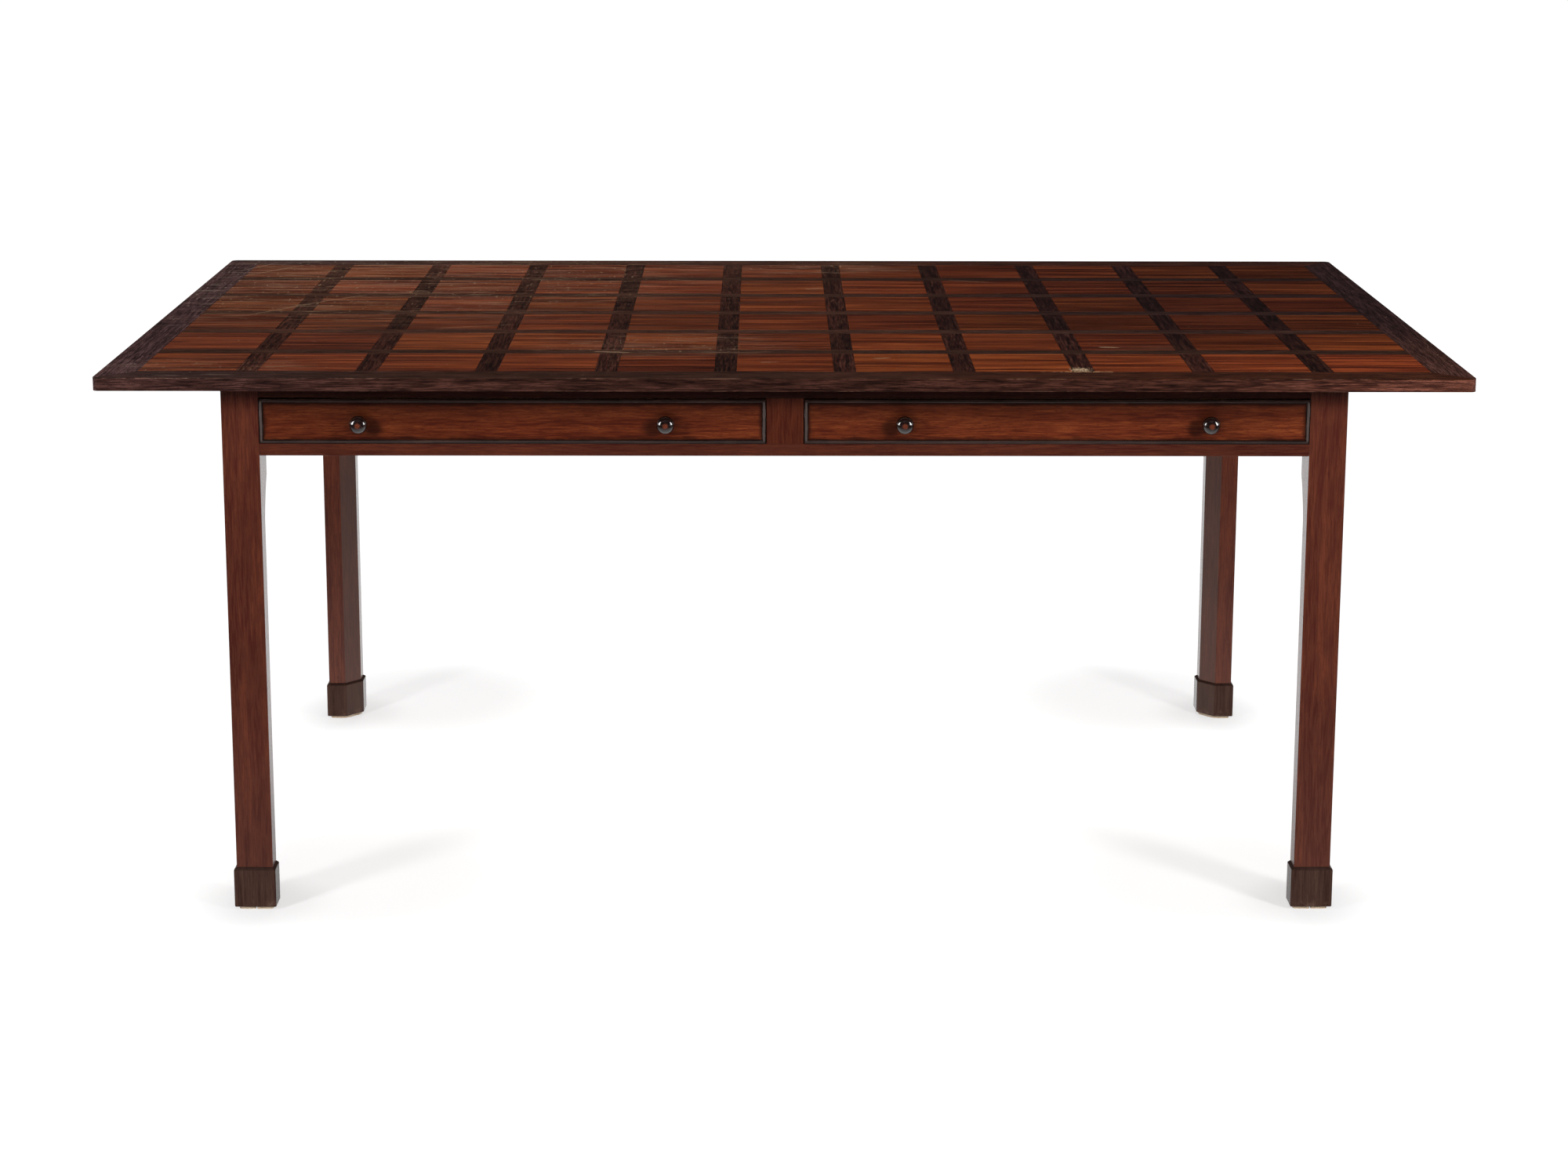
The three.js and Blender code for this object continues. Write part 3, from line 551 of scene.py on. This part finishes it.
def board_wear(w, colour, amount=1.0):
    """What use has done to the top: haze, pale streaks along the grain, scratches and a chip."""
    flat = w.vector(w.x, w.y, 0.0)
    face = w.ramp(w.z, TOP - 1.0 * MM, TOP - 0.3 * MM)
    ragged = w.plus(w.noise(flat, 14.0, 3.0, 0.6), -0.5)
    crumbs = w.plus(w.noise(flat, 190.0, 4.0, 0.75), -0.5)

    rear_right = w.times(w.ramp(w.x, 0.0, 0.6), w.ramp(w.y, -0.4, -0.02))
    colour = w.tinted(colour, REAR_RIGHT_TINT, rear_right)

    worn = w.times(w.ramp(w.x, 0.4, -0.75), w.ramp(w.y, -0.4, 0.46, 0.18, 1.45))
    for *place, strength in WORN_PLACES:
        far = w.plus(spot(w, flat, *place), w.times(ragged, 0.9))
        worn = w.either(worn, w.ramp(far, 1.1, 0.3, 0.0, strength))
    streaks = w.ramp(streaked(w, 6.0, 75.0, 0.0, 4.0, 0.7), 0.42, 0.64)
    haze = w.times(w.times(worn, face), w.plus(w.times(streaks, 0.9), 0.12))
    colour = w.laid(colour, HAZE_TONE, haze, 0.36 * amount)

    lines = w.ramp(streaked(w, 13.0, 210.0, 1.7, 3.0, 0.6), 0.6, 0.67)
    ticks = w.ramp(streaked(w, 210.0, 45.0, 4.0, 1.0), 0.65, 0.72)
    scratch = w.times(lines, w.ramp(worn, 0.3, 0.9, 0.03, 0.85))
    scratch = w.either(scratch, w.times(ticks, w.ramp(worn, 0.4, 1.0, 0.0, 0.7)))
    for place in SCRATCHES:
        far = w.plus(spot(w, flat, *place), w.plus(w.times(ragged, 0.8), w.times(crumbs, 1.8)))
        scratch = w.either(scratch, w.ramp(far, 0.95, 0.7))
    specks = w.ramp(w.noise(flat, 150.0, 1.0), 0.78, 0.81)
    scratch = w.times(w.either(scratch, specks), face)
    colour = w.laid(colour, SCRATCH_TONE, scratch, 0.55)

    chip = 0.0
    for place in CHIPS:
        far = w.plus(spot(w, flat, *place), w.times(crumbs, 3.6))
        chip = w.either(chip, w.ramp(far, 0.95, 0.8))
    chip = w.times(w.times(chip, face), w.ramp(w.noise(flat, 420.0, 2.0), 0.4, 0.52))
    colour = w.laid(colour, CHIP_TONE, chip, 0.9)
    return colour, haze, w.either(scratch, chip)


def square_wood():
    w = Wood("square_wood", 0)
    chance = w.chance(w.vector(w.cell(w.x, 0.5), w.cell(w.y), 0.0))
    other = w.chance(w.vector(chance, 0.37, 0.11))
    where = w.shifted(chance)
    colour, height = w.paint(where, SQUARE_TONES, bands=0.45, lines=0.6, pores=0.3, stretch=2.5)
    colour = w.tinted(colour, RED_SQUARE_TINT, other)
    colour = w.scaled(colour, w.between(chance, 0.78, 1.2))
    front_right = w.times(w.ramp(w.x, -0.3, 0.7), w.ramp(w.y, -0.24, -0.4))
    colour = w.scaled(colour, w.plus(w.times(front_right, 0.35), 1.0))
    colour = w.tinted(colour, LEFT_SQUARE_TINT, w.ramp(w.x, -0.2, -0.7))
    colour, haze, scratch = board_wear(w, colour)
    roughness = w.plus(w.times(haze, 0.15), w.between(other, 0.4, 0.44))
    return w.finish(colour, w.plus(height, w.times(scratch, -0.8)), roughness, specular=0.1)


def border_tints(w, colour):
    """The border is bluer at the left, and warmer or paler at the right and on its outer edge."""

    def lying(least):
        return w.ramp(w.z, TOP - 2.0 * MM, TOP - 0.5 * MM, least, 1.0)

    along_front = w.axis == 0
    colour = w.tinted(colour, LEFT_BORDER_TINT, w.times(w.ramp(w.x, -0.4, -0.85), lying(0.6)))
    if along_front:
        colour = w.tinted(colour, RIGHT_BORDER_TINT, w.times(w.ramp(w.x, -0.1, 0.5), lying(0.3)))
    else:
        colour = w.scaled(colour, w.ramp(w.y, -0.25, -0.5, 1.05, 1.4))
        colour = w.scaled(colour, w.ramp(w.x, -0.5, 0.5, 1.0, 1.55))
    at_right = w.ramp(w.x, 0.45, 0.88, 0.85, 2.4 if along_front else 1.8)
    at_left = w.ramp(w.x, -0.2, -0.8, 1.0, 1.25)
    paler = w.either(at_right, at_left)
    edge_tint = w.vector(*[w.times(paler, factor) for factor in BORDER_EDGE_TINT])
    return w.tinted(colour, edge_tint, w.ramp(w.z, TOP - 0.5 * MM, TOP - 2.0 * MM))


def border_rub(w, colour):
    """The border's upper and lower arrises, rubbed pale here and there."""
    across = w.both(w.minus(HALF_WIDTH, w.size(w.x)), w.minus(HALF_DEPTH, w.size(w.y)))
    from_upper = w.plus(across, w.minus(TOP, w.z))
    from_lower = w.plus(across, w.minus(w.z, UNDERSIDE))
    rub = w.ramp(w.noise(w.place, 9.0, 4.0, 0.7), 0.46, 0.6)
    breaks = w.ramp(w.noise(w.place, 90.0, 2.0, 0.6), 0.4, 0.55)
    rub = w.times(rub, breaks)
    upper = w.times(w.ramp(from_upper, 1.1 * MM, 0.7 * MM), rub)
    lower = w.times(w.ramp(from_lower, 1.6 * MM, 0.5 * MM), rub)
    return w.laid(colour, BORDER_RUB_TONE, w.either(upper, w.times(lower, 0.4)), 0.5)


def strip_wood(name, axis, cell, tones, border=False):
    """The dark wood of the strips and of the border. A cell tells one board from the next."""
    w = Wood(name, axis)
    chance = w.chance(cell(w))
    where = w.shifted(chance)
    colour, height = w.paint(where, tones, bands=0.2, lines=0.55, threads=0.7, pores=0.7, wobble=3 * MM)
    along, across, depth = where
    crossing = w.ramp(w.grain((across, along, depth), *CROSS_GRAIN), 0.55, 0.75)
    colour = w.laid(colour, tones[0], crossing, 0.3)
    flecks = w.ramp(w.grain(where, *FLECK_GRAIN, 1.0), 0.56, 0.68)
    colour = w.laid(colour, FLECK_TONE, flecks, 0.12 if border else 0.3)
    colour = w.scaled(colour, w.between(chance, 0.64, 1.12))
    colour, haze, scratch = board_wear(w, colour, 0.35)
    if border:
        colour = border_rub(w, border_tints(w, colour))
    roughness = w.plus(w.times(haze, 0.15), 0.38)
    height = w.plus(height, w.times(scratch, -0.8))
    return w.finish(colour, height, roughness, specular=0.12, depth=0.25 * MM)


def frame_wood(name, axis, shade=1.0, tint=WHITE):
    """The red wood of legs, rails and aprons, with painted shade under the top. Upright pieces get painted
    light towards the rear and the right and a painted sheen on their chamfers, and shine more on their
    inner sides.
    """
    w = Wood(name, axis)
    upright = axis == 2
    colour, height = w.paint(w.shifted(), FRAME_TONES, bands=0.45, lines=0.35, threads=0.6, wobble=6 * MM)
    if upright:
        # Painted light: upright pieces lighter towards the rear, and a little lighter towards the right.
        towards_rear = w.ramp(w.y, -0.1, 0.2, 1.0, 1.18)
        towards_right = w.ramp(w.x, 0.2, 0.7, 0.0, 0.06)
        colour = w.scaled(colour, w.plus(towards_rear, towards_right))
        # A painted sheen on the chamfers: greyer and lighter, as if mirroring the pale surroundings.
        colour = w.laid(colour, LEG_CHAMFER_SHEEN_TONE, w.chamfers(), 0.35)
    colour = w.tinted(colour, tint)
    spots = w.ramp(w.noise(w.place, 60.0, 3.0, 0.7), 0.68, 0.76)
    colour = w.laid(colour, FRAME_SPOT_TONE, spots, 0.35)
    colour = w.scaled(colour, w.ramp(w.noise(w.place, 7.0), 0.3, 0.7, 0.9 * shade, 1.08 * shade))
    # Painted shade under the top.
    under = w.ramp(w.z, UNDERSIDE - 45 * MM, UNDERSIDE - 6 * MM)
    colour = w.laid(colour, FRAME_SHADE_TONE, under, 0.5)
    if not upright:
        return w.finish(colour, height, 0.26, specular=0.25)
    inner = w.inner_sides()
    return w.finish(colour, height, w.between(inner, 0.26, 0.12), specular=w.between(inner, 0.35, 1.0))


def drawer_wood(name, front, knobs):
    """The drawer front: brighter, darker along its bead and round its knobs (dirt and painted shade), with
    a painted shadow beside each knob and painted shade towards its top.
    """
    w = Wood(name, 0)
    figure = {"bands": 0.35, "lines": 0.2, "threads": 0.45, "pores": 0.8, "wobble": 8 * MM}
    colour, height = w.paint(w.shifted(), DRAWER_TONES, **figure)
    low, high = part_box(front)
    middle, half = (low + high) / 2, (high - low) / 2
    in_x = w.minus(half.x, w.size(w.minus(w.x, middle.x)))
    in_z = w.minus(half.z, w.size(w.minus(w.z, middle.z)))
    # Darker along the bead and round each knob: dirt and painted shade. Beside each knob, a painted shadow.
    ragged = w.times(w.plus(w.noise(w.place, 45.0), -0.5), 9 * MM)
    dirt_and_shadow = w.ramp(w.plus(w.both(in_x, in_z), ragged), 11 * MM, 5 * MM)
    flat = w.vector(w.x, 0.0, w.z)
    for knob in knobs:
        centre = middle_of(knob)
        aside = centre.x + math.copysign(KNOB_SHADOW_SHIFT, KNOB_SHADOWS_TURN - centre.x)
        from_knob = w.distance(flat, (centre.x, 0, centre.z))
        from_shadow = w.distance(flat, (aside, 0, centre.z - KNOB_SHADOW_DROP))
        dirt_and_shadow = w.either(dirt_and_shadow, w.ramp(from_knob, 24 * MM, 10 * MM, 0.0, 0.55))
        dirt_and_shadow = w.either(dirt_and_shadow, w.ramp(from_shadow, 17 * MM, 5 * MM, 0.0, 0.85))
    colour = w.scaled(colour, 1.14)
    colour = w.laid(colour, DRAWER_DIRT_AND_SHADOW_TONE, dirt_and_shadow, 0.75)
    # Painted shade from the top's overhang, over the whole front and deepest just under its upper edge.
    soft_shade = w.ramp(w.z, low.z + 12 * MM, high.z, 0.0, 0.6)
    deep_shade = w.ramp(w.z, high.z - 17 * MM, high.z - 6 * MM, 0.0, 0.75)
    colour = w.laid(colour, DRAWER_SHADE_TONE, w.either(soft_shade, deep_shade))
    colour = w.scaled(colour, w.ramp(w.noise(w.place, 7.0, 3.0), 0.3, 0.7, 0.88, 1.12))
    colour = w.scaled(colour, w.ramp(w.x, -0.7, 0.4, 0.8, 0.96))
    return w.finish(colour, height, 0.3, specular=0.22)


def foot_wood():
    w = Wood("foot_wood", 2)
    colour, height = w.paint(w.shifted(), FOOT_TONES, bands=0.3, lines=0.3, threads=0.25)
    low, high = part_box("foot_front_left")
    lip = w.ramp(w.z, high.z - 5 * MM, high.z - 2 * MM)
    colour = w.laid(colour, FOOT_LIP_TONE, lip, 0.5)
    rub = w.ramp(w.noise(w.place, 70.0, 3.0, 0.7), 0.5, 0.7)
    scuff = w.times(w.ramp(w.z, low.z + 14 * MM, low.z + 1 * MM), rub)
    colour = w.laid(colour, FOOT_SCUFF_TONE, scuff, 0.4)
    # Painted light: the rear feet lighter.
    colour = w.scaled(colour, w.ramp(w.y, -0.1, 0.2, 1.03, 1.15))
    # A painted sheen on the chamfers: greyer and lighter, as if mirroring the pale surroundings.
    colour = w.laid(colour, FOOT_CHAMFER_SHEEN_TONE, w.chamfers(), 0.4)
    inner = w.inner_sides()
    return w.finish(colour, height, w.between(inner, 0.36, 0.2), specular=w.between(inner, 0.15, 0.6))


def lining_wood(name, axis):
    w = Wood(name, axis)
    colour, height = w.paint(w.shifted(), LINING_TONES, pores=0.6)
    stain = w.ramp(w.noise(w.place, 6.0, 4.0, 0.6), 0.5, 0.75)
    colour = w.laid(colour, LINING_STAIN_TONE, stain, 0.3)
    return w.finish(colour, height, 0.62, specular=0.3)


def bead_wood():
    w = Wood("bead_wood", 0)
    colour, height = w.paint(w.shifted(), BEAD_TONES, bands=0.4, lines=0.6, pores=0.3)
    rub = w.ramp(w.noise(w.place, 40.0, 4.0, 0.7), 0.55, 0.75)
    colour = w.laid(colour, BEAD_RUB_TONE, rub, 0.25)
    low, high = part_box("drawer_left_front")
    # A painted highlight along the bead's ridge, strong on its upright ends and faint along its top and
    # bottom.
    upright = w.both(
        w.ramp(w.z, low.z + BEAD_WIDTH / 2, low.z + BEAD_WIDTH, 0.12, 0.42),
        w.ramp(w.z, high.z - BEAD_WIDTH / 2, high.z - BEAD_WIDTH, 0.04, 0.42),
    )
    ridge_highlight = w.ramp(w.facing()[1], -0.88, -0.97)
    colour = w.laid(colour, BEAD_RIDGE_HIGHLIGHT_TONE, ridge_highlight, upright)
    return w.finish(colour, height, 0.2, specular=0.3)


def knob_wood(knobs):
    """Dark polish, redder and paler at the middle of each knob's face."""
    w = Wood("knob_wood", 1)
    colour, height = w.paint(w.shifted(), KNOB_TONES, pores=0.0)
    flat = w.vector(w.x, 0.0, w.z)
    knob_middle = 0.0
    for knob in knobs:
        centre = middle_of(knob)
        knob_middle = w.either(knob_middle, w.ramp(w.distance(flat, (centre.x, 0, centre.z)), 5.0 * MM, 2.0 * MM))
    colour = w.laid(colour, KNOB_MIDDLE_TONE, knob_middle, 0.85)
    return w.finish(colour, height, 0.07, specular=1.0, depth=0.04 * MM, ior=1.8)


def felt():
    w = Wood("glide_felt", 2)
    fibres = w.noise(w.place, 900.0, 4.0, 0.7)
    cloud = w.ramp(w.noise(w.place, 60.0, 3.0), 0.45, 0.7)
    colour = w.mix(w.ramp(fibres, 0.3, 0.7), *map(tone, FELT_TONES))
    colour = w.laid(colour, FELT_DIRT_TONE, cloud, 0.4)
    return w.finish(colour, fibres, 0.9, specular=0.15, depth=0.4 * MM)


# Pieces


def new_piece(name, build, material, body, replaced, smooth=False):
    """A mesh that build fills, riding on a body. It stands for the CAD nodes that it replaces."""
    mesh = bpy.data.meshes.new(name)
    shape = bmesh.new()
    build(shape)
    bmesh.ops.recalc_face_normals(shape, faces=shape.faces)
    for face in shape.faces:
        face.smooth = smooth
    shape.to_mesh(mesh)
    shape.free()
    mesh.materials.append(material)
    piece = bpy.data.objects.new(name, mesh)
    bpy.context.scene.collection.objects.link(piece)
    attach(piece, body)
    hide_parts(*replaced)
    return piece


def soften(piece, width, segments=2, angle=35):
    """Rounds a piece's sharp edges."""
    bevel = piece.modifiers.new("bevel", "BEVEL")
    bevel.width = width
    bevel.segments = segments
    bevel.limit_method = "ANGLE"
    bevel.angle_limit = math.radians(angle)
    bevel.use_clamp_overlap = True


def dress(node, material, width=RAIL_EDGE):
    """Gives a CAD node its material and rounds its edges."""
    piece = nodes[node]
    piece.data.materials.clear()
    piece.data.materials.append(material)
    weld = piece.modifiers.new("weld", "WELD")
    weld.merge_threshold = WELD_DISTANCE
    soften(piece, width)


def add_block(shape, low, high):
    ends = [(x, y, z) for z in (low[2], high[2]) for y in (low[1], high[1]) for x in (low[0], high[0])]
    corners = [shape.verts.new(end) for end in ends]
    for face in ((0, 2, 3, 1), (4, 5, 7, 6), (0, 1, 5, 4), (2, 6, 7, 3), (0, 4, 6, 2), (1, 3, 7, 5)):
        shape.faces.new([corners[i] for i in face])


def add_skin(shape, rings, closed=False):
    """Faces from each ring of points to the next, and from the last to the first where it is closed."""
    following = rings[1:] + rings[:1] if closed else rings[1:]
    for ring, after in zip(rings, following):
        count = len(ring)
        for i in range(count):
            j = (i + 1) % count
            shape.faces.new([ring[i], ring[j], after[j], after[i]])


def row_builder(row, low, high, floor):
    """One row of squares, from the floor that they lie on up to the face of the top."""
    y = (row + 0.5 - SQUARES_DEEP / 2) * PITCH
    half = SQUARE_SIDE / 2

    def build(shape):
        for column in range(SQUARES_ACROSS):
            x = (column + 0.5 - SQUARES_ACROSS / 2) * PITCH
            corner_low = (max(x - half, low.x), max(y - half, low.y), floor)
            corner_high = (min(x + half, high.x), min(y + half, high.y), high.z)
            add_block(shape, corner_low, corner_high)

    return build


def make_squares():
    low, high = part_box("top_board")
    floor = high.z - VENEER_THICKNESS - GLUE_LINE

    def ground(shape):
        add_block(shape, low, (high.x, high.y, floor))

    wood = lining_wood("ground_wood", 0)
    board = new_piece("ground_board", ground, wood, "frame", ["top_board"])
    soften(board, BOARD_EDGE)
    squares = square_wood()
    for row in range(SQUARES_DEEP):
        build = row_builder(row, low, high, floor)
        piece = new_piece(f"squares_row_{row + 1}", build, squares, "frame", ["top_board"])
        soften(piece, VENEER_EDGE, segments=1)


def make_strips():
    def stripe_cell(w):
        return w.vector(0.0, w.cell(w.y, 0.5), 3.0)

    def bar_cell(w):
        return w.vector(w.cell(w.x), w.cell(w.y), 5.0)

    def long_border_cell(w):
        return w.vector(0.0, w.math("SIGN", w.y), 7.0)

    def short_border_cell(w):
        return w.vector(w.math("SIGN", w.x), 0.0, 9.0)

    stripes = strip_wood("stripe_wood", 0, stripe_cell, STRIPE_TONES)
    bars = strip_wood("bar_wood", 1, bar_cell, BAR_TONES)
    for i in range(1, SQUARES_DEEP):
        dress(f"stripe_{i}", stripes, VENEER_EDGE)
    for i in range(1, SQUARES_ACROSS):
        dress(f"bar_{i}", bars, VENEER_EDGE)
    long_border = strip_wood("border_wood_long", 0, long_border_cell, LONG_BORDER_TONES, border=True)
    short_border = strip_wood("border_wood_short", 1, short_border_cell, SHORT_BORDER_TONES, border=True)
    for side in ("front", "rear"):
        dress(f"border_{side}", long_border, BORDER_EDGE)
    for side in SIDES:
        dress(f"border_{side}", short_border, BORDER_EDGE)


def stop_point(t):
    """Depth and height shares of the stop's curve, from its head at 0 to its foot at 1."""
    weights = [(1 - t) ** 3, 3 * t * (1 - t) ** 2, 3 * t * t * (1 - t), t**3]
    return [sum(w * point[i] for w, point in zip(weights, STOP_SHARES)) for i in (0, 1)]


def leg_builder(corner):
    """A square shaft whose inner corner is cut off from the foot up to a hollow stop."""
    across, along = CORNERS[corner]
    low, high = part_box(f"leg_{corner}")
    foot_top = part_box(f"foot_{corner}")[1].z + GLUE_LINE
    outer_x = high.x if across > 0 else low.x
    outer_y = high.y if along > 0 else low.y
    least_cut = WELD_DISTANCE

    def ring(shape, z, cut):
        side = LEG_SIDE
        outline = [(0, 0), (side, 0), (side, side - cut), (side - cut, side), (0, side)]
        return [shape.verts.new((outer_x - across * x, outer_y - along * y, z)) for x, y in outline]

    def build(shape):
        rings = [ring(shape, foot_top, LEG_CHAMFER)]
        for i in range(STOP_STEPS, -1, -1):
            depth, height = stop_point(i / STOP_STEPS)
            cut = max(least_cut, LEG_CHAMFER * depth)
            rings.append(ring(shape, STOP_BOTTOM + STOP_HEIGHT * height, cut))
        rings.append(ring(shape, high.z, least_cut))
        add_skin(shape, rings)
        shape.faces.new(rings[0][::-1])
        shape.faces.new(rings[-1])

    return build


def make_legs():
    wood = frame_wood("leg_wood", 2)
    feet = foot_wood()
    pads = felt()
    for corner in CORNERS:
        build = leg_builder(corner)
        leg = new_piece(f"shaft_{corner}", build, wood, "frame", [f"leg_{corner}"])
        soften(leg, LEG_EDGE, angle=30)
        dress(f"foot_{corner}", feet, FOOT_EDGE)
        dress(f"glide_{corner}", pads, GLIDE_EDGE)


def make_frieze():
    rails = frame_wood("rail_wood", 0, 0.8)
    aprons = frame_wood("apron_wood", 1)
    inner = lining_wood("runner_wood", 1)
    for node in ("rail_lower", "apron_rear"):
        dress(node, rails)
    # The upper rail is a darker copy of the frame wood: painted shade under the top's overhang.
    dress("rail_upper", frame_wood("upper_rail_wood", 0, 0.4))
    for side in SIDES:
        dress(f"apron_{side}", aprons)
    dress("muntin", frame_wood("muntin_wood", 2, 0.85, MUNTIN_TINT))
    for kind in ("runner", "kicker"):
        for place in ("left", "right", "centre"):
            dress(f"{kind}_{place}", inner)


def bead_builder(front):
    """A half-round strip mitred round the drawer front, with its nose standing proud of the face."""
    low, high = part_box(front)

    def build(shape):
        radius = BEAD_WIDTH / 2
        nose = [step / BEAD_STEPS * math.pi for step in range(BEAD_STEPS + 1)]
        profile = [(radius * (1 - math.cos(angle)), -radius * math.sin(angle)) for angle in nose]
        profile = [(0, BEAD_SEAT), *profile, (BEAD_WIDTH, BEAD_SEAT)]
        rings = []
        for across, up in ((-1, -1), (1, -1), (1, 1), (-1, 1)):
            ring = []
            for inwards, y in profile:
                x = high.x - inwards if across > 0 else low.x + inwards
                z = high.z - inwards if up > 0 else low.z + inwards
                ring.append(shape.verts.new((x, low.y + y, z)))
            rings.append(ring)
        add_skin(shape, rings, closed=True)

    return build


def knob_outline():
    """Reach from the drawer's face and radius, from the end of the spigot to the rim of the knob's tip."""
    points = [KNOB_SPIGOT, *KNOB_STEM]
    for step in range(KNOB_FACE_STEPS):
        turn = step / KNOB_FACE_STEPS * math.pi / 2
        radius = KNOB_RADIUS * math.cos(turn) ** (2 / KNOB_FACE_POWER)
        rise = KNOB_FACE_DEPTH * math.sin(turn) ** (2 / KNOB_FACE_POWER)
        points.append((KNOB_LENGTH - KNOB_FACE_DEPTH + rise, radius))
    return points


def knob_builder(knob, face_y):
    centre = middle_of(knob)

    def build(shape):
        rings = []
        for reach, radius in knob_outline():
            ring = []
            for i in range(KNOB_SIDES):
                angle = i / KNOB_SIDES * 2 * math.pi
                x = centre.x + radius * MM * math.cos(angle)
                z = centre.z + radius * MM * math.sin(angle)
                ring.append(shape.verts.new((x, face_y - reach * MM, z)))
            rings.append(ring)
        add_skin(shape, rings)
        tip = shape.verts.new((centre.x, face_y - KNOB_LENGTH * MM, centre.z))
        for i in range(KNOB_SIDES):
            shape.faces.new([rings[-1][i], rings[-1][(i + 1) % KNOB_SIDES], tip])
        shape.faces.new(rings[0])

    return build


def make_drawers():
    beads = bead_wood()
    polish = knob_wood([f"{drawer}_knob_{side}" for drawer in DRAWERS for side in SIDES])
    lengthwise = lining_wood("drawer_side_wood", 1)
    crosswise = lining_wood("drawer_back_wood", 0)
    for drawer in DRAWERS:
        front = f"{drawer}_front"
        face_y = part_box(front)[0].y
        knobs = [f"{drawer}_knob_{side}" for side in SIDES]
        dress(front, drawer_wood(f"{drawer}_wood", front, knobs), BOARD_EDGE)
        build = bead_builder(front)
        bead = f"{drawer}_bead"
        new_piece(f"{bead}ing", build, beads, drawer, [bead], smooth=True)
        for knob in knobs:
            build = knob_builder(knob, face_y)
            new_piece(knob.replace("knob", "pull"), build, polish, drawer, [knob], smooth=True)
        for side in SIDES:
            dress(f"{drawer}_side_{side}", lengthwise, DRAWER_SIDE_EDGE)
        for part in ("back", "bottom"):
            dress(f"{drawer}_{part}", crosswise, BOARD_EDGE)


make_camera()
make_world()
make_lamps()
make_floor()
bpy.context.scene.view_settings.view_transform = "Standard"
make_squares()
make_strips()
make_legs()
make_frieze()
make_drawers()
